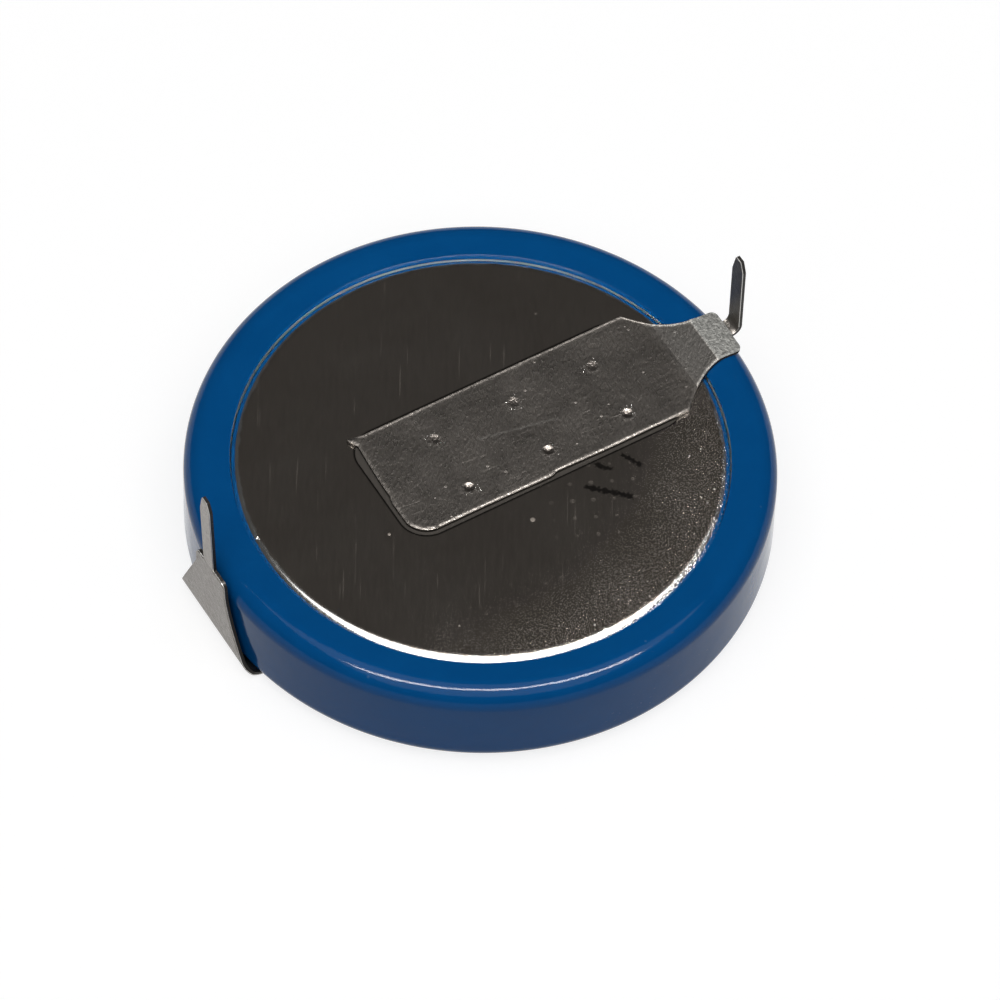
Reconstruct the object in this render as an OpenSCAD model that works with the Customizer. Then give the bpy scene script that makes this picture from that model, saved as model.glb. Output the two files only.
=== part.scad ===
// Lithium coin cell with two solder tabs.
// The cell lies flat, negative cap up. The origin is on the cell's axis, in the plane that the part
// rests on. +Z is up and +X runs along the negative tab, to its pin. The positive tab is at -X.
// Almost every piece is sheet or film, so one function bends a sheet along a line, and a piece is
// that section turned about the axis or pushed out sideways.

/* [Cell] */
// Diameter of the bare steel cell
cell_d = 20; // [16:0.5:30]
// Height of the bare cell, from the can's floor to the cap's face
cell_h = 3.2; // [2.8:0.1:5.4]
// Sheet thickness of the can and the cap
steel_t = 0.25; // [0.2:0.01:0.28]
// Outside radius of the can's bottom corner
can_corner_r = 0.35; // [0.3:0.05:0.6]
// Outside radius of the can's rolled rim
crimp_r = 0.5; // [0.4:0.05:0.65]
// Reach of the rolled rim in from the can's side
crimp_w = 0.95; // [0.8:0.05:1]
// Fall of the rolled rim towards its edge
crimp_fall = 0.1; // [0.05:0.01:0.15]
// Depth of the rolled rim below the cap's face
crimp_drop = 0.1; // [0.05:0.01:0.2]

/* [Negative cap] */
// Width of the ring between the can's side and the cap's wall
cap_inset = 1.25; // [1.15:0.05:1.6]
// Outside radius of the cap's shoulder
cap_shoulder_r = 0.5; // [0.3:0.05:0.6]

/* [Gasket] */
// Thickness of the gasket between the cap's skirt and the can's wall
gasket_side_t = 0.42; // [0.25:0.01:0.5]
// Thickness of the gasket over the cap's flange
gasket_top_t = 0.2; // [0.15:0.01:0.35]
// Thickness of the gasket under the cap's skirt
gasket_floor_t = 0.3; // [0.2:0.01:0.5]
// Thickness of the gasket's inner wall
gasket_inner_t = 0.35; // [0.2:0.01:0.45]
// Height of the gasket's inner wall above the can's floor
gasket_inner_h = 1.5; // [0.8:0.1:1.7]

/* [Electrodes] */
// Thickness of the lithium disc
lithium_t = 0.6; // [0.3:0.05:0.9]
// Gap between the lithium disc's edge and the cap's wall
lithium_gap = 0.4; // [0.3:0.05:1]
// Thickness of the separator
separator_t = 0.12; // [0.05:0.01:0.2]
// Height of the separator's turned-up edge
separator_rim_h = 0.5; // [0.35:0.05:0.55]
// Gap between the collector ring and the gasket
ring_gap = 0.5; // [0.2:0.05:1]
// Sheet thickness of the collector ring
ring_t = 0.12; // [0.08:0.01:0.2]
// Height of the collector ring
ring_h = 1.4; // [0.8:0.1:1.5]
// Width of the collector ring's foot, under the pellet's edge
ring_foot_w = 1; // [0.5:0.1:2]
// Chamfer round both faces of the pressed pellet
pellet_chamfer = 0.1; // [0.05:0.01:0.2]

/* [Sleeve] */
// Film thickness of the sleeve
sleeve_t = 0.26; // [0.1:0.01:0.35]
// Reach of the sleeve's folded lips in from the can's side
lip_w = 1.3; // [1.1:0.05:1.5]

/* [Tabs] */
// Sheet thickness of both tabs
strap_t = 0.15; // [0.1:0.01:0.2]
// Width of both straps
strap_w = 4.65; // [3.5:0.05:6]
// Corner radius at the end of a strap
strap_corner_r = 0.9; // [0.3:0.1:1.5]
// Width of the neck
neck_w = 1.9; // [1.5:0.05:3]
// Length of the neck
neck_l = 0.65; // [0.45:0.05:1.2]
// Corner radius at the end of the neck
neck_corner_r = 0.25; // [0.1:0.05:0.4]
// Sideways offset of the neck from the middle of the strap
neck_shift = -0.1; // [-0.2:0.01:0.2]
// Width of a pin
pin_w = 0.64; // [0.5:0.02:1]
// Width of a pin's tip
pin_tip_w = 0.3; // [0.2:0.02:0.46]
// Length of the taper at a pin's tip
pin_tip_l = 0.6; // [0.2:0.05:1]
// Inside radius of the bends
bend_r = 0.25; // [0.15:0.05:0.35]

/* [Negative tab] */
// Reach of the strap's end past the cell's axis
neg_reach = 3.69; // [2.5:0.1:5]
// Sideways offset of the strap from the cell's axis
neg_shift = 0.38; // [-0.5:0.01:0.5]
// Length of the curved taper from strap to neck
neg_taper_l = 2.3; // [1.5:0.1:2.8]
// Downward tilt of the neck's end, in degrees
neck_tilt = 6; // [0:1:10]
// Gap between the sleeve's side and the pin
neg_pin_gap = 0.17; // [0.1:0.01:0.6]
// Height of the pin above the neck
neg_pin_h = 3.66; // [2:0.1:6]
// Length of the shear's burr at one corner of the strap's end
burr_l = 0.16; // [0.05:0.01:0.25]

/* [Positive tab] */
// Reach of the strap's end past the cell's axis
pos_reach = 3.7; // [2.5:0.1:5]
// Sideways offset of the strap from the cell's axis
pos_shift = 0.33; // [-0.5:0.01:0.5]
// Gap between the sleeve's side and the upright plate
plate_gap = 0.02; // [0.02:0.01:0.3]
// Outward lean of the upright plate, in degrees
plate_lean = 2; // [0:0.5:4]
// Sideways lean of the upright plate, in degrees
plate_skew = 0.7; // [-3:0.1:3]
// Height above the resting plane at which the plate starts to taper
plate_h = 0.25; // [0.2:0.05:1.5]
// Length of the taper from plate to neck
pos_taper_l = 3.2; // [2:0.1:4]
// Length of the pin above the neck
pos_pin_h = 3.8; // [2:0.05:6]

/* [Welds] */
// Distance between the spot welds along a strap
weld_pitch = 3.18; // [2:0.02:3.5]
// Distance between the two rows of spot welds
weld_row = 2.35; // [1.5:0.05:2.8]
// Distance of the middle welds from the cell's axis
weld_x = 2.12; // [1.5:0.02:2.4]
// Sideways offset of the welds from the middle of the strap
weld_shift = -0.2; // [-0.3:0.01:0.3]
// Diameter of a weld's dent
weld_d = 0.52; // [0.3:0.02:0.8]
// Depth of a weld's dent
weld_depth = 0.05; // [0.02:0.01:0.06]

/* [Fit] */
// Clearance left between pieces that touch
fit = 0.01; // [0:0.005:0.02]

/* [Hidden] */

// Straight pieces in each bend of a sheet, and facets round the axis
bend_steps = 8;
$fn = 96;

// Heights above the can's own floor
crimp_h = cell_h - crimp_drop;
flange_top = crimp_h - crimp_fall - steel_t - gasket_top_t;
skirt_bottom = steel_t + gasket_floor_t;
lithium_z = cell_h - steel_t - fit - lithium_t;
separator_z = lithium_z - fit - separator_t;
pellet_top = separator_z - fit;

// Radii
can_r = cell_d / 2;
can_in_r = can_r - steel_t;
cap_r = can_r - cap_inset;
cap_in_r = cap_r - steel_t;
skirt_r = can_in_r - gasket_side_t;
skirt_in_r = skirt_r - steel_t;
gasket_in_r = skirt_in_r - fit - gasket_inner_t;
ring_r = gasket_in_r - ring_gap;
pellet_r = ring_r - ring_t - fit;
open_r = can_r - lip_w;
sleeve_r = can_r + fit + sleeve_t;

// Heights above the resting plane
lip_bottom = strap_t + fit;
can_z = lip_bottom + sleeve_t + fit;
cap_face = can_z + cell_h;
lip_top = can_z + crimp_h + fit + sleeve_t;

// Middle line of the can's sheet: floor, wall and rolled rim
rim_slope = crimp_fall / (crimp_w - steel_t / 2);
rim_rise = (crimp_r - steel_t / 2) * (rim_slope + norm([1, rim_slope]) - 1);
function rim_point(r) = [r, crimp_h - steel_t / 2 + rim_rise - rim_slope * (can_r - steel_t / 2 - r)];
can_bends = [can_corner_r - steel_t / 2, crimp_r - steel_t / 2];
function can_line(floor_r, rim_r) = [
    [floor_r, steel_t / 2],
    [can_r - steel_t / 2, steel_t / 2],
    rim_point(can_r - steel_t / 2),
    rim_point(rim_r)
];

// Middle line of the cap's sheet: face, wall, flange and skirt
flange_bend_r = steel_t / 2 + 0.05;
wall_h = cell_h - flange_top;
shoulder_bend_r = min(cap_shoulder_r - steel_t / 2, wall_h - flange_bend_r);
flange_w = skirt_r - cap_r;
skirt_bend_r = min(flange_bend_r, flange_w - flange_bend_r);
cap_bends = [shoulder_bend_r, flange_bend_r, skirt_bend_r];
cap_line = [
    [0, cell_h - steel_t / 2],
    [cap_r - steel_t / 2, cell_h - steel_t / 2],
    [cap_r - steel_t / 2, flange_top - steel_t / 2],
    [skirt_r - steel_t / 2, flange_top - steel_t / 2],
    [skirt_r - steel_t / 2, skirt_bottom]
];

// A bend of the tabs has this radius on its middle line, and the shallow steps are softer
tab_bend_r = bend_r + strap_t / 2;
step_bend_r = 0.3;
step_run = 0.45;
climb_run = 1.25;
step_clear = 0.05;
crown_in = 0.25;

// Middle line of the negative tab: pad on the cap, climb onto the lip, neck and pin
neck_mid = lip_top + fit + strap_t / 2;
neg_pad_mid = cap_face + fit + strap_t / 2;
neg_pin_x = sleeve_r + neg_pin_gap + strap_t / 2;
neck_end = neg_pin_x - tab_bend_r;
neck_crown = sleeve_r - sleeve_t - crimp_r - crown_in;
neck_top = neck_mid + crown_in * tan(neck_tilt);
neck_drop = (neg_pin_x - neck_crown) * tan(neck_tilt);
neg_tip_z = neck_mid + strap_t / 2 + neg_pin_h;
neg_line = [
    [-neg_reach - burr_l, neg_pad_mid],
    [neck_crown - climb_run, neg_pad_mid],
    [neck_crown, neck_top],
    [neg_pin_x, neck_top - neck_drop],
    [neg_pin_x, neg_tip_z]
];
neg_bends = [step_bend_r, step_bend_r, tab_bend_r];
neg_taper_x = neck_end - neck_l - neg_taper_l;

// Middle line of the positive tab: pad under the can, step below the lip, upright plate and pin.
// It folds up round the sleeve's bottom edge.
fold_r = can_corner_r + fit + sleeve_t + plate_gap + strap_t / 2;
pos_pad_mid = can_z - fit - strap_t / 2;
pos_step_x = sqrt(pow(open_r, 2) - pow(strap_w / 2 + abs(pos_shift), 2)) - step_clear;
plate_x = sleeve_r + plate_gap + strap_t / 2;
pos_tip_z = plate_h + pos_taper_l + neck_l + pos_pin_h;
pos_line = [
    [pos_reach, pos_pad_mid],
    [step_run - pos_step_x, pos_pad_mid],
    [-pos_step_x, strap_t / 2],
    [-plate_x, strap_t / 2],
    [-plate_x - pos_tip_z * tan(plate_lean), pos_tip_z]
];
pos_bends = [step_bend_r, step_bend_r, fold_r];

// Directions and turns
function heading(a, b) = (b - a) / norm(b - a);
function left_of(v) = [-v[1], v[0]];
function turned(v, a) = [v[0] * cos(a) - v[1] * sin(a), v[0] * sin(a) + v[1] * cos(a)];
function turn_of(u, w) = atan2(u[0] * w[1] - u[1] * w[0], u * w);
function reversed(list) = [for (i = [len(list) - 1:-1:0]) list[i]];
function mirrored(list) = reversed([for (p = list) [p[0], -p[1]]]);

// Points round the bend at b, beside the middle line that runs from a to c. side is to the left.
function bend_side(a, b, c, r, side) =
    let (u = heading(a, b), turn = turn_of(u, heading(b, c)), way = turn < 0 ? -1 : 1)
    let (centre = b - u * r * tan(abs(turn) / 2) + left_of(u) * r * way)
    [for (k = [0:bend_steps]) centre - turned(left_of(u), turn * k / bend_steps) * way * (r - side * way)];

// Points along a whole bent line, at a distance to its left
function line_side(line, bends, side) =
    let (last = len(line) - 1)
    concat(
        [line[0] + left_of(heading(line[0], line[1])) * side],
        [for (i = [1:last - 1]) each bend_side(line[i - 1], line[i], line[i + 1], bends[i - 1], side)],
        [line[last] + left_of(heading(line[last - 1], line[last])) * side]
    );

// Outline between two distances to the left of a bent line
function band(line, bends, side_a, side_b) =
    concat(line_side(line, bends, side_a), reversed(line_side(line, bends, side_b)));

// Outline of a sheet of thickness t
function sheet(line, bends, t) = band(line, bends, t / 2, -t / 2);

// Arc from angle a to angle b
function arc(centre, r, a, b) =
    [for (k = [0:bend_steps]) centre + turned([r, 0], a + (b - a) * k / bend_steps)];

// One edge of a tab's taper and neck, from the strap to the pin's end. The taper is straight if bow
// is 1 and hollow if it is more. The neck's edge is at half_neck from the middle of the strap.
function tab_edge(start, taper_l, bow, half_neck, pin_end) =
    let (steps = bow == 1 ? 1 : bend_steps, ledge = start + taper_l + neck_l)
    concat(
        [for (k = [0:steps]) [
            start + taper_l * k / steps,
            half_neck + (strap_w / 2 - half_neck) * pow(1 - k / steps, bow)
        ]],
        arc([ledge - neck_corner_r, half_neck - neck_corner_r], neck_corner_r, 90, 0),
        [[ledge, pin_w / 2], [pin_end, pin_w / 2]]
    );

// Outline of a tab's taper, neck and pin: up one edge to the pin's end and back down the other
function tab_outline(start, taper_l, bows, pin_end) = concat(
    tab_edge(start, taper_l, bows[0], neck_w / 2 + neck_shift, pin_end),
    mirrored(tab_edge(start, taper_l, bows[1], neck_w / 2 - neck_shift, pin_end))
);

// Outline measured in height and sideways, stood up and leant sideways
function stood_up(outline) = [for (p = outline) [p[1] + p[0] * tan(plate_skew), p[0]]];

// Rounded end of the positive strap at x = reach, open towards -X
function round_end(reach) = concat(
    arc([reach - strap_corner_r, strap_corner_r - strap_w / 2], strap_corner_r, 270, 360),
    arc([reach - strap_corner_r, strap_w / 2 - strap_corner_r], strap_corner_r, 0, 90)
);

// End of the negative strap: one corner round, the edge a little askew, a burr at the other corner
end_skew = 0.2;
burr_root = 0.3;
function sheared_end(reach) = concat(
    arc([strap_corner_r - reach, strap_corner_r - strap_w / 2], strap_corner_r, 270, 180),
    [
        [end_skew / 4 - reach, 0],
        [end_skew - reach, strap_w / 2 - burr_root],
        [-reach - burr_l / 2, strap_w / 2 + burr_l],
        [burr_root + end_skew - reach, strap_w / 2]
    ]
);

// Outline in height and sideways that tapers the tip of a pin and leaves all below it free
function tip_outline(tip_z) =
    let (edge = [
        [-1, strap_w],
        [tip_z - pin_tip_l, strap_w],
        [tip_z - pin_tip_l, pin_w / 2],
        [tip_z, pin_tip_w / 2]
    ])
    concat(edge, mirrored(edge));

// Pushes a section in X and Z out sideways
module sideways(w) {
    rotate([90, 0, 0])
        linear_extrude(height = w, center = true)
            children();
}

// Pushes an outline in Y and Z out along X
module lengthways() {
    rotate([90, 0, 90])
        linear_extrude(height = 4 * cell_d, center = true)
            children();
}

// Turns a section that is measured from the can's own floor
module turned_piece() {
    translate([0, 0, can_z])
        rotate_extrude()
            children();
}

// Spherical dents of the spot welds, three along the strap in two rows. side is 1 on the top face of
// the negative strap and -1 on the underside of the positive one, which runs the other way.
module weld_dents(face_z, side) {
    ball_r = (pow(weld_d / 2, 2) + pow(weld_depth, 2)) / (2 * weld_depth);
    ball_z = face_z + side * (ball_r - weld_depth);
    for (i = [-1:1], row = [-1, 1])
        translate([side * (weld_x + i * weld_pitch), weld_shift + row * weld_row / 2, ball_z])
            sphere(r = ball_r);
}

module cathode_can() {
    color("silver")
        turned_piece()
            polygon(sheet(can_line(0, can_r - crimp_w), can_bends, steel_t));
}

module cathode_ring() {
    bend = ring_t;
    line = [
        [ring_r - ring_foot_w, steel_t + fit + ring_t / 2],
        [ring_r - ring_t / 2, steel_t + fit + ring_t / 2],
        [ring_r - ring_t / 2, steel_t + ring_h]
    ];
    color("lightgray")
        turned_piece()
            polygon(sheet(line, [bend], ring_t));
}

module cathode_pellet() {
    foot_r = ring_r - ring_foot_w - fit;
    floor_z = steel_t + fit;
    foot_z = floor_z + ring_t + fit;
    color("dimgray")
        turned_piece()
            polygon([
                [0, floor_z],
                [foot_r, floor_z],
                [foot_r, foot_z],
                [pellet_r - pellet_chamfer, foot_z],
                [pellet_r, foot_z + pellet_chamfer],
                [pellet_r, pellet_top - pellet_chamfer],
                [pellet_r - pellet_chamfer, pellet_top],
                [0, pellet_top]
            ]);
}

module separator() {
    rim_r = cap_in_r - step_clear - separator_t / 2;
    line = [
        [0, separator_z + separator_t / 2],
        [rim_r, separator_z + separator_t / 2],
        [rim_r, separator_z + separator_rim_h]
    ];
    color("white")
        turned_piece()
            polygon(sheet(line, [separator_t], separator_t));
}

module lithium_anode() {
    color("gainsboro")
        translate([0, 0, can_z + lithium_z])
            cylinder(h = lithium_t, r = cap_in_r - lithium_gap);
}

// Fills the groove between can and cap: it grips the cap's skirt and rises inside the rolled rim
module seal_gasket() {
    grip = steel_t / 2 + fit;
    rim_r = can_r - crimp_w;
    can_inside = line_side(can_line(0, rim_r), can_bends, grip);
    cap_outside = line_side(cap_line, cap_bends, grip);
    below_cap = [[skirt_r + fit, skirt_bottom - fit], [0, skirt_bottom - fit]];
    top_z = rim_point(rim_r)[1];
    color("aliceblue")
        turned_piece()
            union() {
                difference() {
                    union() {
                        intersection() {
                            polygon(concat(can_inside, [[0, can_inside[len(can_inside) - 1][1]]]));
                            translate([gasket_in_r, 0]) square([can_r, cell_h]);
                        }
                        translate([cap_r, flange_top]) square([rim_r - fit - cap_r, top_z - flange_top]);
                    }
                    polygon(concat(cap_outside, below_cap));
                }
                translate([gasket_in_r, steel_t + fit]) square([gasket_inner_t, gasket_inner_h]);
            }
}

module anode_cap() {
    color("gray")
        turned_piece()
            polygon(sheet(cap_line, cap_bends, steel_t));
}

// Film shrunk onto the can: its section runs beside the can's own outline
module insulating_sleeve() {
    inner = -steel_t / 2 - fit;
    color("steelblue")
        turned_piece()
            polygon(band(can_line(open_r, open_r), can_bends, inner, inner - sleeve_t));
}

module negative_tab() {
    edges = tab_outline(neg_taper_x, neg_taper_l, [2, 2], neg_pin_x + strap_t);
    plan = concat(sheared_end(neg_reach), edges);
    front = [for (p = tip_outline(neg_tip_z)) [p[1], p[0]]];
    color("slategray")
        translate([0, neg_shift, 0])
            difference() {
                intersection() {
                    sideways(2 * strap_w)
                        polygon(sheet(neg_line, neg_bends, strap_t));
                    linear_extrude(height = 2 * neg_tip_z)
                        polygon(plan);
                    lengthways()
                        polygon(front);
                }
                weld_dents(neg_pad_mid + strap_t / 2, 1);
            }
}

module positive_tab() {
    plan = concat(round_end(pos_reach), [[-cell_d, strap_w / 2], [-cell_d, -strap_w / 2]]);
    edges = tab_outline(plate_h, pos_taper_l, [1, 1.6], pos_tip_z);
    front = stood_up(concat([[-1, -strap_w / 2], [-1, strap_w / 2]], edges));
    color("darkgray")
        translate([0, pos_shift, 0])
            difference() {
                intersection() {
                    sideways(2 * strap_w)
                        polygon(sheet(pos_line, pos_bends, strap_t));
                    linear_extrude(height = 2 * pos_tip_z)
                        polygon(plan);
                    lengthways()
                        polygon(front);
                    lengthways()
                        polygon(stood_up(tip_outline(pos_tip_z)));
                }
                weld_dents(pos_pad_mid - strap_t / 2, -1);
            }
}

cathode_can();
cathode_ring();
cathode_pellet();
separator();
lithium_anode();
seal_gasket();
anode_cap();
insulating_sleeve();
negative_tab();
positive_tab();
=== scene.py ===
"""Looks of a lithium coin cell with two solder tabs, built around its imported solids.

Lengths are in millimetres in the row's own frame until a mesh or a light is placed, and then in
metres. The sizes repeat those of the solids, so that what is made here lies where they do.
"""
import math
from functools import reduce

import bmesh
import bpy
import numpy as np
from mathutils import Matrix, Vector


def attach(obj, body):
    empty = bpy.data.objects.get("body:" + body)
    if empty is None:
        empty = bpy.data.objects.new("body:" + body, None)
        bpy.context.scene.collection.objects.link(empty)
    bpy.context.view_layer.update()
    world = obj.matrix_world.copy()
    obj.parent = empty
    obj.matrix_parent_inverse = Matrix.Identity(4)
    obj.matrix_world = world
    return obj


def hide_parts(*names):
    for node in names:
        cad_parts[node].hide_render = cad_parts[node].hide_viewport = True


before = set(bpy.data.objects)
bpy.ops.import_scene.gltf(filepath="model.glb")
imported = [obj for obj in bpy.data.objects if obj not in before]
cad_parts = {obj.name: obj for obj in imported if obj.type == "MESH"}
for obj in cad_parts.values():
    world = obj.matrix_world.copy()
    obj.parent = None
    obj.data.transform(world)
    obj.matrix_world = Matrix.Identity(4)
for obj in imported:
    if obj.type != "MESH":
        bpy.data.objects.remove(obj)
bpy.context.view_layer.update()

MM = 0.001

# Cell
CAN_R = 10.0
CELL_H = 3.2
STEEL_T = 0.25
CAN_CORNER_R = 0.35
CRIMP_R = 0.5
CRIMP_W = 0.95
CRIMP_FALL = 0.1
CRIMP_H = 3.1
CAP_R = 8.75
CAP_SHOULDER_R = 0.5
FLANGE_BEND_R = 0.175
GASKET_SIDE_T = 0.42
GASKET_TOP_T = 0.2
GASKET_FLOOR_T = 0.3

# Sleeve
SLEEVE_T = 0.26
OPEN_R = 8.7

# Tabs
STRAP_T = 0.15
STRAP_W = 4.65
STRAP_CORNER_R = 0.9
NECK_W = 1.9
NECK_L = 0.65
NECK_CORNER_R = 0.25
NECK_SHIFT = -0.1
PIN_W = 0.64
PIN_TIP_W = 0.3
PIN_TIP_L = 0.6
PIN_TIP_SLANT = 0.25
TAB_BEND_R = 0.325
STEP_BEND_R = 0.3
NEG_REACH = 3.69
NEG_SHIFT = 0.38
NEG_TAPER_L = 2.3
NECK_TILT = math.radians(6)
NEG_PIN_GAP = 0.17
NEG_PIN_H = 3.66
CLIMB_RUN = 1.25
CROWN_IN = 0.25
END_SKEW = 0.2
POS_REACH = 3.7
POS_SHIFT = 0.33
POS_STEP_X = 8.235
STEP_RUN = 0.45
PLATE_GAP = 0.02
PLATE_LEAN = math.radians(2)
PLATE_SKEW = math.radians(0.7)
PLATE_H = 0.25
POS_TAPER_L = 3.2
POS_PIN_H = 3.8

# Sheared edges: the burr at one corner, eased corners, the burr along the far side, and the near
# side that the shear rolled over
BURR_L = 0.16
BURR_ROOT = 0.3
CUT_EASE = 0.014
BURR_H = 0.015
ROLL_H = 0.024
BURR_W = 0.06
ROLLED_END_L = 0.35
# Small steps of the near side and of the end: place, height, length and reach
SIDE_NICK = (5.5, 0.045, 0.06, 1.6)
END_NICK = (-0.5, 0.035, 0.07, 0.9)
END_NICK_DEPTH = 0.6
# Over these lengths the pad's unevenness fades in at its end and out at its bend, and dullness with
# painted shade in
WAVES_IN_L = 2
WAVES_OUT_L = 1.5
DULL_AND_SHADE_IN_L = 0.4

# Spot welds
WELD_PITCH = 3.18
WELD_ROW = 2.35
WELD_X = 2.12
WELD_SHIFT = -0.2
WELD_PIT_R = 0.19
WELD_RIM_H = 0.003
# In pit radii: place and width of the pit's rim, and reach of the heat
WELD_RIM = (1.3, 0.3)
WELD_HEAT = 1.5
WELD_DEPTHS = {-1: 0.055, 1: 0.022}
BEADS = 10
BEAD_R = 0.017
BEAD_RING_R = 0.31
BEAD_SPREAD = 0.12

# Rows and columns of points on a strip: their pitch, their least gap, reach and pitch round a weld,
# and distances of extra columns from its side and from its pin's side
ROW_PITCH = 0.16
PIN_ROW_PITCH = 0.12
COLUMN_PITCH = 0.15
LEAST_GAP = 0.018
WELD_ZONE = (0.27, 0.03)
EDGE_COLUMNS = (0.04, 0.07, 0.1, 0.15, 0.22, 0.32, 0.45)
PIN_COLUMN = 0.05
PIN_LAST_ROWS = (0.05, 0.12)
# Shares at which both ends of the strip's body have rows, the lengths of these ends, and how far
# from them the first and last bend rows are
END_SHARES = (0, 0.03, 0.08, *np.linspace(0.15, 1, 10))
END_ROWS_L = STRAP_CORNER_R + 0.25
NECK_ROWS_L = 0.4
BEND_GAPS = (0.05, 0.02)
# What the shader reads of a strip at each point
STRIP_MARKS = ("cut_edge", "cut_depth", "weld_heat", "tinned", "dulled")

# Places that follow from the sizes
FIT = 0.01
SLEEVE_R = CAN_R + FIT + SLEEVE_T
LIP_BOTTOM = STRAP_T + FIT
CAN_Z = LIP_BOTTOM + SLEEVE_T + FIT
CAP_FACE = CAN_Z + CELL_H
LIP_TOP = CAN_Z + CRIMP_H + FIT + SLEEVE_T
NEG_TOP = CAP_FACE + FIT + STRAP_T
POS_UNDERSIDE = CAN_Z - FIT - STRAP_T
NEG_TAPER_X = SLEEVE_R + NEG_PIN_GAP + STRAP_T / 2 - TAB_BEND_R - NECK_L - NEG_TAPER_L
# Each weld: distance from the cell's axis along the strap, place across it, depth of its pit
WELDS = [
    (WELD_X + i * WELD_PITCH, WELD_SHIFT + row * WELD_ROW / 2, depth)
    for i in (-1, 0, 1) for row, depth in WELD_DEPTHS.items()
]

# Viewpoint: azimuth and elevation in degrees, and the point that the camera aims at
VIEW_AZIMUTH = -32.5
VIEW_ELEVATION = 54.354
VIEW_ROLL = math.radians(2.322)
VIEW_DISTANCE = 300.0
VIEW_LENS = 310.05
AIM_RIGHT = 0.742
AIM_UP = 0.533

# Floor, and the studio's light and dim parts: where the light band ends, in degrees, and levels
FLOOR_REACH = 1.5
FLOOR_LIT = 0.22
FLOOR_SEEN = 0.3
FLOOR_GLOW = 0.8
BAND_EDGES = (2, 5)
BAND_LEVEL = 0.9
DIM_LEVEL = 0.055

# Finished meshes
SHELL_SEGMENTS = 288
CRISP_ANGLE = 35
FACE_GRIP = 0.002
STRIP_UV = "strip"


# Bent lines and outlines

def heading(a, b):
    way = np.subtract(b, a)
    return way / np.linalg.norm(way)


def left_of(way):
    return np.array([-way[1], way[0]])


def turned(way, angle):
    c, s = math.cos(angle), math.sin(angle)
    return np.array([way[0] * c - way[1] * s, way[0] * s + way[1] * c])


def turn_between(a, b):
    return math.atan2(a[0] * b[1] - a[1] * b[0], a[0] * b[0] + a[1] * b[1])


def bent_line(points, bends, side=0.0, steps=12):
    """Points along a line whose corners are bent to the given radii, at a distance to its left."""
    points = [np.array(p, float) for p in points]
    out = [points[0] + left_of(heading(points[0], points[1])) * side]
    for a, b, c, r in zip(points, points[1:], points[2:], bends):
        u = heading(a, b)
        turn = turn_between(u, heading(b, c))
        way = math.copysign(1, turn)
        centre = b - u * r * math.tan(abs(turn) / 2) + left_of(u) * r * way
        arm = left_of(u) * way * (r - side * way)
        out += [centre - turned(arm, turn * k / steps) for k in range(steps + 1)]
    out.append(points[-1] + left_of(heading(points[-2], points[-1])) * side)
    return out


def eased(outline, r, steps=4):
    """A closed outline with its sharp corners rounded, apart from corners on the axis."""
    out = []
    for i, b in enumerate(outline):
        u = heading(outline[i - 1], b)
        w = heading(b, outline[(i + 1) % len(outline)])
        turn = turn_between(u, w)
        if abs(turn) < math.radians(40) or b[0] < r:
            out.append(b)
            continue
        start = b - u * r * math.tan(abs(turn) / 2)
        arm = -left_of(u) * r * math.copysign(1, turn)
        out += [start - arm + turned(arm, turn * k / steps) for k in range(steps + 1)]
    return out


def supported(outline, gap):
    """A closed outline with extra points near the ends of its long sides, which keep them flat."""
    out = []
    for i, b in enumerate(outline):
        c = outline[(i + 1) % len(outline)]
        out.append(b)
        on_axis = b[0] == 0 and c[0] == 0
        if np.linalg.norm(c - b) > 4 * gap and not on_axis:
            out += [b + heading(b, c) * gap, c - heading(b, c) * gap]
    return out


class Fold:
    """The middle line of a bent strip, measured by the length along it."""

    def __init__(self, points, bends):
        points = np.array(bent_line(points, bends))
        apart = np.linalg.norm(np.diff(points, axis=0), axis=1) > 1e-9
        self.points = points[np.concatenate([[True], apart])]
        steps = np.diff(self.points, axis=0)
        lengths = np.linalg.norm(steps, axis=1)
        self.run = np.concatenate([[0], np.cumsum(lengths)])
        ways = steps / lengths[:, None]
        ways = np.vstack([ways[:1], (ways[:-1] + ways[1:]) / 2, ways[-1:]])
        self.ways = ways / np.linalg.norm(ways, axis=1)[:, None]

    def length_at(self, axis, value):
        """Length at which the line last passes a value of X (axis 0) or Z (axis 1)."""
        along = self.points[:, axis]
        for i in range(len(along) - 1, 0, -1):
            low, high = sorted((along[i - 1], along[i]))
            if low <= value <= high and high > low:
                share = (value - along[i - 1]) / (along[i] - along[i - 1])
                return self.run[i - 1] + share * (self.run[i] - self.run[i - 1])
        raise ValueError("the line never passes there")

    def place(self, run, off):
        """X and Z of points at lengths along the line and distances to its left."""
        x, z = (np.interp(run, self.run, self.points[:, k]) for k in (0, 1))
        wx, wz = (np.interp(run, self.run, self.ways[:, k]) for k in (0, 1))
        size = np.hypot(wx, wz)
        return x - wz / size * off, z + wx / size * off


# Meshes and node trees

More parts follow.
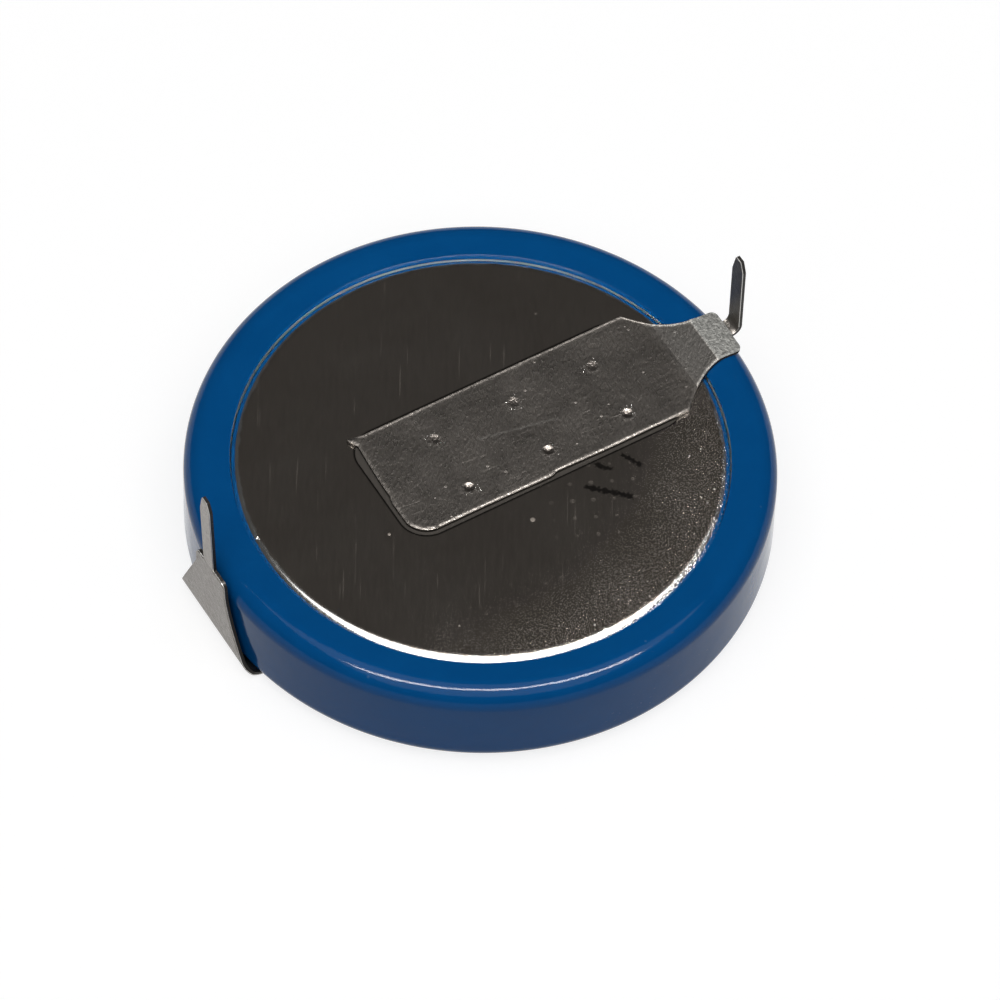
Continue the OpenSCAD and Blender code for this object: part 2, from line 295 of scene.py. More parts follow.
class Tree:
    """Adds nodes to a tree: each is set and linked in one call."""

    def __init__(self, tree):
        self.tree = tree

    def link(self, value, socket):
        """Links a node's output to a socket, or sets the socket to a plain value."""
        if isinstance(value, bpy.types.NodeSocket):
            self.tree.links.new(value, socket)
        else:
            socket.default_value = value

    def add(self, kind, inputs=None, **settings):
        node = self.tree.nodes.new(kind)
        for name, value in settings.items():
            setattr(node, name, value)
        for name, value in (inputs or {}).items():
            self.link(value, node.inputs[name])
        return node

    def first(self, kind, inputs=None, **settings):
        """Adds a node and gives its first output."""
        return self.add(kind, inputs, **settings).outputs[0]

    def math(self, operation, *values, clamp=False):
        inputs = dict(enumerate(values))
        return self.first("ShaderNodeMath", inputs, operation=operation, use_clamp=clamp)

    def plus(self, *values):
        return reduce(lambda a, b: self.math("ADD", a, b), values)

    def minus(self, a, b):
        return self.math("SUBTRACT", a, b)

    def times(self, a, b):
        return self.math("MULTIPLY", a, b)

    def most(self, *values):
        return reduce(lambda a, b: self.math("MAXIMUM", a, b), values)

    def shares(self, *pairs):
        """Values, each times its own share."""
        return [self.times(value, share) for value, share in pairs]

    def contrasted(self, value, contrast):
        """A value spread out round one half, and kept between 0 and 1."""
        return self.math("ADD", self.times(self.minus(value, 0.5), contrast), 0.5, clamp=True)

    def vector(self, operation, *values):
        node = self.add("ShaderNodeVectorMath", dict(enumerate(values)), operation=operation)
        number = operation in ("LENGTH", "DISTANCE", "DOT_PRODUCT")
        return node.outputs["Value" if number else "Vector"]

    def scaled(self, place, size):
        """A place measured in a size of its own."""
        return self.vector("DIVIDE", place, size)

    def xyz(self, x=0.0, y=0.0, z=0.0):
        return self.first("ShaderNodeCombineXYZ", {0: x, 1: y, 2: z})

    def ramp(self, value, low, high, to_low=0.0, to_high=1.0):
        """A smooth step from to_low to to_high as value goes from low to high."""
        inputs = {"Value": value, "From Min": low, "From Max": high, "To Min": to_low, "To Max": to_high}
        return self.first("ShaderNodeMapRange", inputs, interpolation_type="SMOOTHSTEP")

    def mix(self, share, a, b):
        """A colour between two, each another node's output or red, green and blue."""
        a, b = (c if isinstance(c, bpy.types.NodeSocket) else (*c, 1) for c in (a, b))
        return self.add("ShaderNodeMix", {0: share, 6: a, 7: b}, data_type="RGBA").outputs[2]

    def noise(self, place, detail, **more):
        return self.first("ShaderNodeTexNoise", {"Vector": place, "Scale": 1.0, "Detail": detail, **more})

    def rotated(self, place, angle):
        """A place turned round Z."""
        inputs = {"Vector": place, "Angle": angle}
        return self.first("ShaderNodeVectorRotate", inputs, rotation_type="Z_AXIS")


def new_group(name, kind, inputs, output, rule):
    """A node group with named sockets, whose one output a rule makes from its inputs."""
    tree = bpy.data.node_groups.new(name, kind)
    for in_out, sockets in (("INPUT", inputs), ("OUTPUT", output)):
        for socket_name, socket_kind in sockets.items():
            tree.interface.new_socket(socket_name, in_out=in_out, socket_type="NodeSocket" + socket_kind)
    build = Tree(tree)
    start = build.add("NodeGroupInput").outputs
    build.link(rule(build, start), build.add("NodeGroupOutput").inputs[0])
    return tree


def new_maker(name, numbers, rule):
    """A geometry node tree that makes a piece of one material from a start mesh."""
    def coated(build, start):
        whole = build.first("GeometryNodeRealizeInstances", {"Geometry": rule(build, start)})
        coat = {"Geometry": whole, "Material": start["Material"]}
        return build.first("GeometryNodeSetMaterial", coat)

    inputs = {"Geometry": "Geometry", **numbers, "Material": "Material"}
    return new_group(name, "GeometryNodeTree", inputs, {"Geometry": "Geometry"}, coated)


def in_scene(name, data):
    """A new object in the scene that holds a mesh, a lamp or a camera."""
    holder = bpy.data.objects.new(name, data)
    bpy.context.scene.collection.objects.link(holder)
    return holder


def settled(piece):
    """Turns what an object's modifiers make into its plain mesh."""
    graph = bpy.context.evaluated_depsgraph_get()
    mesh = bpy.data.meshes.new_from_object(piece.evaluated_get(graph), depsgraph=graph)
    piece.modifiers.clear()
    piece.data = mesh
    mesh.name = piece.name
    return piece


def grown(name, start_mesh, tree, **inputs):
    """A plain mesh piece that a geometry node tree makes from a start mesh."""
    piece = in_scene(name, start_mesh)
    modifier = piece.modifiers.new("making", "NODES")
    modifier.node_group = tree
    for item in tree.interface.items_tree:
        if item.in_out == "INPUT" and item.name in inputs:
            modifier[item.identifier] = inputs[item.name]
    return settled(piece)


def smooth(mesh, angle):
    """Smooth shading, with edges sharper than the angle kept crisp."""
    mesh.shade_smooth()
    mesh.set_sharp_from_angle(angle=math.radians(angle))


# Turned shells: a section in X and Z is spun round the axis

def turned_shell(build, start):
    section = build.first("GeometryNodeMeshToCurve", {"Mesh": start["Geometry"]})
    hub = {"Resolution": start["Segments"], "Radius": 1e-7}
    hub = build.first("GeometryNodeCurvePrimitiveCircle", hub)
    shell = build.first("GeometryNodeCurveToMesh", {"Curve": hub, "Profile Curve": section})
    return build.first("GeometryNodeMergeByDistance", {"Geometry": shell, "Distance": 1e-6})


TURNED_SHELL = new_maker("turned shell", {"Segments": "Int"}, turned_shell)


def turned_piece(name, outline, material):
    """Spins a closed outline, measured from the can's own floor, round the cell's axis."""
    mesh = bpy.data.meshes.new(name + "_section")
    points = [(p[0] * MM, -(p[1] + CAN_Z) * MM, 0) for p in outline]
    closed = outline[0][0] > 0 or outline[-1][0] > 0
    edges = [(i, (i + 1) % len(points)) for i in range(len(points) - (not closed))]
    mesh.from_pydata(points, edges, [])
    piece = grown(name, mesh, TURNED_SHELL, Segments=SHELL_SEGMENTS, Material=material)
    smooth(piece.data, CRISP_ANGLE)
    return piece


def can_line(floor_r, rim_r):
    """Middle line of the can's sheet: floor, wall and rolled rim."""
    slope = CRIMP_FALL / (CRIMP_W - STEEL_T / 2)
    rise = (CRIMP_R - STEEL_T / 2) * (slope + math.hypot(1, slope) - 1)
    wall = CAN_R - STEEL_T / 2

    def rim(r):
        return (r, CRIMP_H - STEEL_T / 2 + rise - slope * (wall - r))

    return [(floor_r, STEEL_T / 2), (wall, STEEL_T / 2), rim(wall), rim(rim_r)]


def sleeve_outline():
    bends = [CAN_CORNER_R - STEEL_T / 2, CRIMP_R - STEEL_T / 2]
    inner = -STEEL_T / 2 - FIT
    line = can_line(OPEN_R, OPEN_R)
    inside = bent_line(line, bends, inner)
    outside = bent_line(line, bends, inner - SLEEVE_T, steps=20)
    return supported(eased(inside + outside[::-1], 0.06), 0.05)


def cap_outline():
    flange_top = CRIMP_H - CRIMP_FALL - STEEL_T - GASKET_TOP_T
    skirt_r = CAN_R - STEEL_T - GASKET_SIDE_T
    half = STEEL_T / 2
    line = [
        (0, CELL_H - half),
        (CAP_R - half, CELL_H - half),
        (CAP_R - half, flange_top - half),
        (skirt_r - half, flange_top - half),
        (skirt_r - half, STEEL_T + GASKET_FLOOR_T),
    ]
    bends = [CAP_SHOULDER_R - half, FLANGE_BEND_R, FLANGE_BEND_R]
    over = bent_line(line, bends, half, steps=20)
    under = bent_line(line, bends, -half)
    return supported(eased(over + under[::-1], 0.04), 0.04)


# Bent strips: a flat strip is made, thickened and sheared, and then laid along its fold

def spread(low, high, pitch, fine=(), keep=()):
    """Numbers from low to high at a pitch, finer round some places, and with some kept exactly."""
    values = list(np.linspace(low, high, max(2, int(round((high - low) / pitch)) + 1)))
    for centre, reach, step in fine:
        values += list(np.arange(centre - reach, centre + reach + step / 2, step))
    kept = sorted({low, high, *keep})
    values = [v for v in values if low < v < high and min(abs(v - k) for k in kept) > LEAST_GAP]
    out = []
    for value in sorted(values + kept):
        if value in kept or not out or value - out[-1] >= LEAST_GAP:
            out.append(value)
    return np.array(out)


def corner_inset(distance, r):
    """How far a rounded corner draws an end back, at a distance from the strip's side."""
    d = np.clip(distance, 0, r)
    return r - np.sqrt(np.maximum(0, r * r - (r - d) ** 2))


def strip_grid(marks, start_inset, weld_runs):
    """Rows of points (length, sideways) of a flat strip that narrows to a neck and then to a pin."""
    half, pin = STRAP_W / 2, PIN_W / 2
    corner = [STRAP_CORNER_R * (1 - math.cos(a)) for a in np.linspace(0, math.pi / 2, 9)]
    kept = [side * (half - d) for side in (-1, 1) for d in (*EDGE_COLUMNS, *corner[1:])]
    kept += [side * (pin - d) for side in (-1, 1) for d in (0, PIN_COLUMN)]
    weld_rows = [(WELD_SHIFT + side * WELD_ROW / 2, *WELD_ZONE) for side in (-1, 1)]
    lateral = spread(-half, half, COLUMN_PITCH, weld_rows, kept)
    in_pin = np.abs(lateral) <= pin + 1e-9
    beside = np.clip((np.abs(lateral) - pin) / (half - pin), 0, 1)
    inner = np.clip(lateral, -pin, pin)
    left_neck, right_neck = NECK_W / 2 + NECK_SHIFT, NECK_W / 2 - NECK_SHIFT

    def across(left, right):
        return inner + np.sign(lateral) * beside * (np.where(lateral > 0, left, right) - pin)

    def at_taper(run):
        rest = 1 - np.clip(marks["taper_share"](run), 0, 1)
        left, right = (n + (half - n) * rest ** b for n, b in zip((left_neck, right_neck), marks["bows"]))
        return across(left, right)

    neck_start, ledge, tip = marks["ledge"] - NECK_ROWS_L, marks["ledge"], marks["tip"]
    inset = start_inset(lateral)
    rows = [(inset + (END_ROWS_L - inset) * share, lateral) for share in END_SHARES]
    for run in spread(END_ROWS_L, neck_start, ROW_PITCH, weld_runs, marks["bends"])[1:-1]:
        rows.append((np.full_like(lateral, run), at_taper(run)))
    neck = across(left_neck, right_neck)
    to_side = np.where(neck > 0, left_neck - neck, right_neck + neck)
    last = ledge - corner_inset(to_side, NECK_CORNER_R)
    rows += [(neck_start + (last - neck_start) * (1 - share), neck) for share in END_SHARES[::-1]]
    full_rows = len(rows)
    tip_starts = [tip - PIN_TIP_L * (1 + side * PIN_TIP_SLANT) for side in (1, -1)]
    kept = [*marks["pin"], *(tip - d for d in PIN_LAST_ROWS)]
    for run in spread(ledge, tip, PIN_ROW_PITCH, keep=kept)[1:]:
        left, right = (np.interp(run, [start, tip], [pin, PIN_TIP_W / 2]) for start in tip_starts)
        rows.append((np.full_like(lateral, run), inner / pin * np.where(inner > 0, left, right)))
    return rows, full_rows, in_pin


def flat_strip(name, rows, full_rows, in_pin):
    """A flat strip mesh in millimetres, thickened and with sheared walls."""
    index, points, faces = {}, [], []
    for i, (runs, sideways) in enumerate(rows):
        for j, narrow in enumerate(in_pin):
            if i < full_rows or narrow:
                index[i, j] = len(points)
                points.append((runs[j], sideways[j], 0))
    for i, j in index:
        corners = [(i, j), (i + 1, j), (i + 1, j + 1), (i, j + 1)]
        if all(c in index for c in corners):
            faces.append([index[c] for c in corners])
    mesh = bpy.data.meshes.new(name)
    mesh.from_pydata(points, [], faces)
    piece = in_scene(name, mesh)
    thick = piece.modifiers.new("thick", "SOLIDIFY")
    thick.thickness, thick.offset = STRAP_T, 0
    return shear_walls(settled(piece))


def shear_walls(piece):
    """Cuts the strip's side walls into bands and eases their upper and lower corners."""
    shape = bmesh.new()
    shape.from_mesh(piece.data)
    shape.normal_update()
    walls = [edge for edge in shape.edges if edge.verts[0].co.z * edge.verts[1].co.z < 0]
    ways = {}
    for edge in walls:
        way = sum((face.normal for face in edge.link_faces), Vector())
        for corner in edge.verts:
            ways[corner] = way.normalized()
    bmesh.ops.subdivide_edges(shape, edges=walls, cuts=3)
    for point in shape.verts:
        if point in ways:
            point.co -= ways[point] * CUT_EASE
        elif 0.01 < abs(point.co.z) < STRAP_T / 2 - 0.01:
            point.co.z = math.copysign(STRAP_T / 2 - 2 * CUT_EASE, point.co.z)
    shape.to_mesh(piece.data)
    shape.free()
    return piece


def pressed_welds(run, sideways, welds):
    """What spot welds leave on a strip: round pits with a slightly raised rim, and a heated spot."""
    pressed, heat = np.zeros_like(run), np.zeros_like(run)
    for weld_run, weld_side, depth in welds:
        ratio = np.hypot(run - weld_run, sideways - weld_side) / WELD_PIT_R
        pressed += WELD_RIM_H * np.exp(-((ratio - WELD_RIM[0]) / WELD_RIM[1]) ** 2)
        pressed -= depth * np.clip(1 - ratio ** 2, 0, 1)
        heat = np.maximum(heat, np.exp(-(ratio / WELD_HEAT) ** 2))
    return pressed, heat


def rim_distance(run, sideways, cut):
    """How far each point of the strip is from its sheared outline."""
    places = run + 1j * sideways
    rim = np.unique(np.round(places[cut], 4))
    return np.array([np.abs(rim - place).min() for place in places])


def nick(place, centre, height, length, reach):
    """One small step of a sheared edge, which fades out to both sides."""
    away = place - centre
    return height * np.tanh(away / length) * np.exp(-(away / reach) ** 2)


def edge_nicks(run, sideways):
    """Small steps of the sheared near side and end, as a shift along and across the strip."""
    at_end = np.clip(1 - run / END_NICK_DEPTH, 0, 1)
    at_side = np.clip(-sideways / (STRAP_W / 2), 0, 1) ** 6
    return at_end * nick(sideways, *END_NICK), at_side * nick(run, *SIDE_NICK)


def waves(run, sideways):
    """Slight unevenness of a thin strip, less than its clearance."""
    long_wave = 0.005 * np.sin(run * 1.7 + sideways * 0.9 + 0.4)
    return long_wave + 0.003 * np.sin(sideways * 2.3 - run * 0.6 + 1.1)


def bent_strip(name, fold, marks, start_inset, reach, shift, material, burr=None, skew=0.0):
    """A tab: the flat strip with its welds' dents and sheared edges, laid along the fold."""
    welds = [(reach + x, y, depth) for x, y, depth in WELDS]
    weld_runs = [(run, *WELD_ZONE) for run in sorted({w[0] for w in welds})]
    piece = flat_strip(name, *strip_grid(marks, start_inset, weld_runs))
    mesh = piece.data
    flat = np.zeros(len(mesh.vertices) * 3, np.float32)
    mesh.vertices.foreach_get("co", flat)
    run, sideways, off = flat.reshape(-1, 3).astype(float).T

    def between(low, high):
        return (run > low) & (run < high)

    face = off > STRAP_T / 2 - FACE_GRIP
    from_rim = rim_distance(run, sideways, np.abs(off) < STRAP_T / 2 - FACE_GRIP)
    pressed, heat = pressed_welds(run, sideways, welds)
    # Dullness with painted shade: rougher and darker along each given span
    dulled = np.zeros_like(run)
    for low, high, amount in marks["dulled"]:
        dulled = np.maximum(dulled, amount * np.clip((run - low) / DULL_AND_SHADE_IN_L, 0, 1) * (run < high))
    near_rim = (from_rim < CUT_EASE * 1.3) & ~face
    looks = (near_rim, (STRAP_T / 2 - off) / STRAP_T, heat, between(*marks["tinned"]), dulled)
    for mark, values in zip(STRIP_MARKS, looks):
        mesh.attributes.new(mark, "FLOAT", "POINT").data.foreach_set("value", values.astype(np.float32))

    far_side = (sideways > 0) & (run > ROLLED_END_L)
    burred = np.where(far_side, BURR_H, -ROLL_H) * np.exp(-(from_rim / BURR_W) ** 2)
    on_pad = np.clip(run / WAVES_IN_L, 0, 1) * np.clip((marks["pad_end"] - run) / WAVES_OUT_L, 0, 1)
    off += np.where(face, pressed + burred * between(*marks["burred"]), 0)
    off += waves(run, sideways) * on_pad
    if marks["nicked"]:
        along, across = edge_nicks(run, sideways)
        run, sideways = run + along, sideways + across
    if burr:
        corner_run, corner_side, pull_run, pull_side = burr
        near = np.clip(1 - np.hypot(run - corner_run, sideways - corner_side) / BURR_ROOT, 0, 1)
        run, sideways = run + pull_run * near, sideways + pull_side * near
    x, z = fold.place(run, off)
    placed = np.stack([x, sideways + shift + z * math.tan(skew), z], axis=1) * MM
    mesh.vertices.foreach_set("co", placed.astype(np.float32).ravel())
    corners = np.zeros(len(mesh.loops), np.int32)
    mesh.loops.foreach_get("vertex_index", corners)
    uv = np.stack([run[corners], sideways[corners]], axis=1) * MM
    mesh.uv_layers.new(name=STRIP_UV).data.foreach_set("uv", uv.astype(np.float32).ravel())
    mesh.materials.append(material)
    smooth(mesh, CRISP_ANGLE)
    mesh.update()
    return piece


def strap_marks(fold, pad_end, ledge, **own):
    """Lengths along a strap at which its parts begin and end, and where a bend needs rows."""
    tip = fold.run[-1]
    body_from, body_to = END_ROWS_L + BEND_GAPS[0], ledge - NECK_ROWS_L - BEND_GAPS[1]
    return {
        "pad_end": pad_end,
        "ledge": ledge,
        "tip": tip,
        "bends": [run for run in fold.run if body_from < run < body_to],
        "pin": [run for run in fold.run if ledge < run < tip],
        **own,
    }


def negative_strap(material):
    """Strap on the cap, climb onto the sleeve's lip, neck and upright pin."""
    pad_mid = CAP_FACE + FIT + STRAP_T / 2
    neck_mid = LIP_TOP + FIT + STRAP_T / 2
    pin_x = SLEEVE_R + NEG_PIN_GAP + STRAP_T / 2
    crown = SLEEVE_R - SLEEVE_T - CRIMP_R - CROWN_IN
    top = neck_mid + CROWN_IN * math.tan(NECK_TILT)
    drop = (pin_x - crown) * math.tan(NECK_TILT)
    line = [
        (-NEG_REACH, pad_mid),
        (crown - CLIMB_RUN, pad_mid),
        (crown, top),
        (pin_x, top - drop),
        (pin_x, neck_mid + STRAP_T / 2 + NEG_PIN_H),
    ]
    fold = Fold(line, [STEP_BEND_R, STEP_BEND_R, TAB_BEND_R])
    ledge = fold.length_at(0, pin_x - TAB_BEND_R)
    climb = fold.length_at(0, crown - CLIMB_RUN - 0.3)
    marks = strap_marks(
        fold, fold.length_at(0, crown - CLIMB_RUN), ledge,
        taper_share=lambda run: (fold.place(run, 0)[0] - NEG_TAPER_X) / NEG_TAPER_L,
        bows=(2, 2),
        tinned=(fold.length_at(0, crown - 0.05), ledge + 0.02),
        # painted shade with dullness on the climb and on the pin
        dulled=[(climb, ledge - 1, 1.3), (ledge, fold.run[-1] + 1, 1)],
        burred=(-1, ledge + 0.5),
        nicked=True,
    )
    half = STRAP_W / 2
    burr = (END_SKEW, half, -END_SKEW - BURR_L / 2, BURR_L)

    def start_inset(sideways):
        slant = np.interp(sideways, [-half, 0, half], [0, END_SKEW / 4, END_SKEW])
        return np.maximum(slant, corner_inset(sideways + half, STRAP_CORNER_R))

    return bent_strip("negative_strap", fold, marks, start_inset, NEG_REACH, NEG_SHIFT, material, burr)


def positive_strap(material):
    """Strap under the can, step below the sleeve's lip, upright plate, neck and pin."""
    pad_mid = CAN_Z - FIT - STRAP_T / 2
    plate_x = SLEEVE_R + PLATE_GAP + STRAP_T / 2
    tip_z = PLATE_H + POS_TAPER_L + NECK_L + POS_PIN_H
    line = [
        (POS_REACH, pad_mid),
        (STEP_RUN - POS_STEP_X, pad_mid),
        (-POS_STEP_X, STRAP_T / 2),
        (-plate_x, STRAP_T / 2),
        (-plate_x - tip_z * math.tan(PLATE_LEAN), tip_z - STRAP_T / 2 * math.sin(PLATE_LEAN)),
    ]
    fold_r = CAN_CORNER_R + FIT + SLEEVE_T + PLATE_GAP + STRAP_T / 2
    fold = Fold(line, [STEP_BEND_R, STEP_BEND_R, fold_r])
    ledge = fold.length_at(1, PLATE_H + POS_TAPER_L + NECK_L)
    upright = fold.length_at(0, -plate_x + fold_r)

    def taper_share(run):
        return (fold.place(run, 0)[1] - PLATE_H) / POS_TAPER_L if run > upright else 0

    marks = strap_marks(
        fold, fold.length_at(0, STEP_RUN - POS_STEP_X), ledge,
        taper_share=taper_share,
        bows=(1, 1.6),
        tinned=(0, 0),
        # painted shade with dullness on the upright plate
        dulled=[(upright - 0.6, ledge, 0.4)],
        burred=(upright + 1.4, ledge),
        nicked=False,
    )

    def start_inset(sideways):
        return corner_inset(STRAP_W / 2 - np.abs(sideways), STRAP_CORNER_R)

    return bent_strip(
        "positive_strap", fold, marks, start_inset, POS_REACH, POS_SHIFT, material, skew=PLATE_SKEW
    )


# Shared effects: groups that put out a mask or a value, which each material uses with its own numbers

def new_effect(name, output, numbers, rule, places=("Vector",)):
    """A shader group whose one output a rule makes from its places and numbers."""
    inputs = {**dict.fromkeys(places, "Vector"), **dict.fromkeys(numbers, "Float")}
    return new_group(name, "ShaderNodeTree", inputs, {output: "Float"}, rule)


def rolling_grain(build, start):
    """Grain that is drawn out along one direction, as rolls leave it on sheet metal."""
    place = build.rotated(start["Vector"], start["Angle"])
    drawn = build.scaled(place, build.xyz(start["Stretch"], 1.0, 1.0))
    place = build.scaled(drawn, start["Size"])
    return build.contrasted(build.noise(place, 5.0, Roughness=0.62), start["Contrast"])


def mottle(build, start):
    """Broad, soft blotches between 0 and 1."""
    place = build.scaled(start["Vector"], start["Size"])
    return build.contrasted(build.noise(place, 3.0, Distortion=0.6), start["Contrast"])


def specks(build, start):
    """Small round specks: a share of the cells of a loose lattice holds one."""
    place = build.scaled(start["Vector"], start["Spacing"])
    cells = {"Vector": place, "Scale": 1.0, "Randomness": start["Looseness"]}
    cells = build.add("ShaderNodeTexVoronoi", cells).outputs
    parts = build.add("ShaderNodeSeparateColor", {"Color": cells["Color"]}).outputs
    size = build.math("DIVIDE", start["Width"], start["Spacing"])
    size = build.times(size, build.ramp(parts[1], 0, 1, 0.35, 0.6))
    dot = build.ramp(cells["Distance"], build.times(size, 0.5), size, 1.0, 0.0)
    return build.times(dot, build.math("LESS_THAN", parts[0], start["Share"]))


def scratches(build, start):
    """Fine straight scratches in one direction, interrupted along their length."""
    place = build.rotated(start["Vector"], start["Angle"])
    place = build.vector("MULTIPLY", place, (0.03, 1, 1))
    lines = build.noise(build.scaled(place, start["Width"]), 1.0)
    low = build.minus(0.78, start["Share"])
    parts = build.noise(start["Vector"], 2.0, Scale=0.35)
    return build.times(build.ramp(lines, low, build.plus(low, 0.05)), build.ramp(parts, 0.45, 0.62))


def edge_wear_and_highlight(build, start):
    """A mask where an edge mask is high, full in some places and thin in others: wear on the cap's
    shoulder, and a painted highlight on the strips' sheared edges.
    """
    uneven = build.noise(build.scaled(start["Vector"], start["Size"]), 4.0)
    need = build.minus(1.0, start["Amount"])
    whole = build.plus(start["Edge"], build.minus(uneven, 0.5))
    return build.ramp(whole, need, build.plus(need, 0.35))


def stroke(build, start):
    """One rough-edged mark along a straight line between two places."""
    there = build.vector("SUBTRACT", start["Vector"], start["From"])
    whole = build.vector("SUBTRACT", start["To"], start["From"])
    share, length = (build.vector("DOT_PRODUCT", way, whole) for way in (there, whole))
    along = build.vector("MULTIPLY", whole, build.math("DIVIDE", share, length, clamp=True))
    beside = build.vector("LENGTH", build.vector("SUBTRACT", there, along))
    uneven = build.ramp(build.noise(start["Vector"], 3.0, Scale=7.0), 0.3, 0.7, 0.35, 1.6)
    wide = build.times(start["Width"], uneven)
    return build.ramp(beside, build.times(wide, 0.4), wide, 1.0, 0.0)


GRAIN = new_effect("rolling grain", "Value", ("Angle", "Stretch", "Size", "Contrast"), rolling_grain)
MOTTLE = new_effect("mottle", "Value", ("Size", "Contrast"), mottle)
SPECKS = new_effect("specks", "Mask", ("Spacing", "Width", "Share", "Looseness"), specks)
SCRATCHES = new_effect("scratches", "Mask", ("Angle", "Width", "Share"), scratches)
EDGE_WEAR_AND_HIGHLIGHT = new_effect("edge wear and highlight", "Mask", ("Edge", "Size", "Amount"), edge_wear_and_highlight)
STROKE = new_effect("stroke", "Mask", ("Width",), stroke, ("Vector", "From", "To"))

# The cap's rolling grain runs at this angle to the strap
CAP_GRAIN = math.radians(-59)
# Dark scuffs on the cap (from, to, width), and a bright nick in its shoulder
CAP_SCUFFS = (
    ((2.56, -2.96), (3.65, -3.99), 0.15),
    ((3.31, -2.29), (3.62, -2.62), 0.12),
    ((4.31, -2.37), (4.61, -2.97), 0.12),
    ((-4.66, -7.12), (-4.76, -7.26), 0.08),
)
CAP_NICK = (-8.42, 0.93)
# Middle of the cap's faint dot lattice, and how far and at what angle it lies
LATTICE_MIDDLE = (3.1, -3.9, CAP_FACE)
LATTICE_FADE = (1.2, 3.4)
LATTICE_TURN = 0.42
# Painted shade on the cap beside the strap's pad, a dark band, fades out between these distances, and so
# does its dullness
PAINTED_SHADE_FADE = (0.14, 0.22)
PAINTED_SHADE_DULL_FADE = (0.10, 0.15)
# A scrape along the negative strap, from its pad's end towards its neck
SCRAPE = ((NEG_REACH + 0.26, 0.59 - NEG_SHIFT, 0), (NEG_REACH + 3.1, 0.01 - NEG_SHIFT, 0))


# Materials

class Finish(Tree):
    """A material's tree, and each point's place in millimetres on the object or on a strip."""

    def __init__(self, name, uv_map=None):
        self.material = bpy.data.materials.new(name)
        self.material.use_nodes = True
        super().__init__(self.material.node_tree)
        if uv_map:
            place = self.first("ShaderNodeUVMap", uv_map=uv_map)
        else:
            place = self.add("ShaderNodeTexCoord").outputs["Object"]
        self.place = self.vector("MULTIPLY", place, (1 / MM, 1 / MM, 1 / MM))

    def effect(self, group, **inputs):
        """A shared effect's mask or value, with this material's own numbers."""
        return self.first("ShaderNodeGroup", {"Vector": self.place, **inputs}, node_tree=group)

    def tint(self, color, mask, share, tint):
        """A colour with a tint over it where a mask is high."""
        return self.mix(self.times(mask, share), color, tint)

    def done(self, color, rough, height, depth, **plain):
        """Gives the shader its colour, roughness, relief of a depth in millimetres and plain values."""
        shader = self.tree.nodes["Principled BSDF"].inputs
        bump = {"Height": height, "Distance": depth * MM, "Strength": 1.0}
        looks = {"Base_Color": color, "Roughness": rough, "Normal": self.first("ShaderNodeBump", bump)}
        for name, value in {**looks, **plain}.items():
            self.link(value, shader[name.replace("_", " ")])
        return self.material


def film_material():
    """Glossy blue film: a little uneven in tone, with dust, hairlines and shrinkage ripples."""
    film = Finish("blue_film")
    tone = film.effect(MOTTLE, Size=2.6, Contrast=1.6)
    fine = film.effect(MOTTLE, Size=0.35, Contrast=1.8)
    dust = film.effect(SPECKS, Spacing=0.8, Width=0.16, Share=0.16, Looseness=1.0)
    lines = film.effect(SCRATCHES, Angle=0.5, Width=0.1, Share=0.08)
    ripples = film.effect(GRAIN, Angle=0.0, Stretch=1.0, Size=1.9, Contrast=1.5)
    color = film.mix(tone, (0.0010, 0.080, 0.272), (0.0022, 0.096, 0.312))
    color = film.tint(color, fine, 0.3, (0.0016, 0.077, 0.248))
    color = film.tint(color, dust, 0.35, (0.08, 0.18, 0.34))
    rough = film.plus(film.ramp(tone, 0, 1, 0.07, 0.11), film.times(film.most(dust, lines), 0.2))
    height = film.minus(film.plus(ripples, film.times(dust, 0.10)), film.times(lines, 0.04))
    return film.done(color, rough, height, 0.015, IOR=1.34, Specular_IOR_Level=0.22)


def beside_pad(cap, x, y):
    """Distance in millimetres from the outline of the negative strap's pad, along the cap."""
    pad_end = NEG_TAPER_X - STRAP_T / 2
    spans = ((x, -NEG_REACH, pad_end), (y, NEG_SHIFT - STRAP_W / 2, NEG_SHIFT + STRAP_W / 2))
    over = []
    for part, low, high in spans:
        away = cap.math("ABSOLUTE", cap.minus(part, (low + high) / 2))
        over.append(cap.most(cap.minus(away, (high - low) / 2 - STRAP_CORNER_R), 0.0))
    return cap.minus(cap.vector("LENGTH", cap.xyz(*over)), STRAP_CORNER_R)


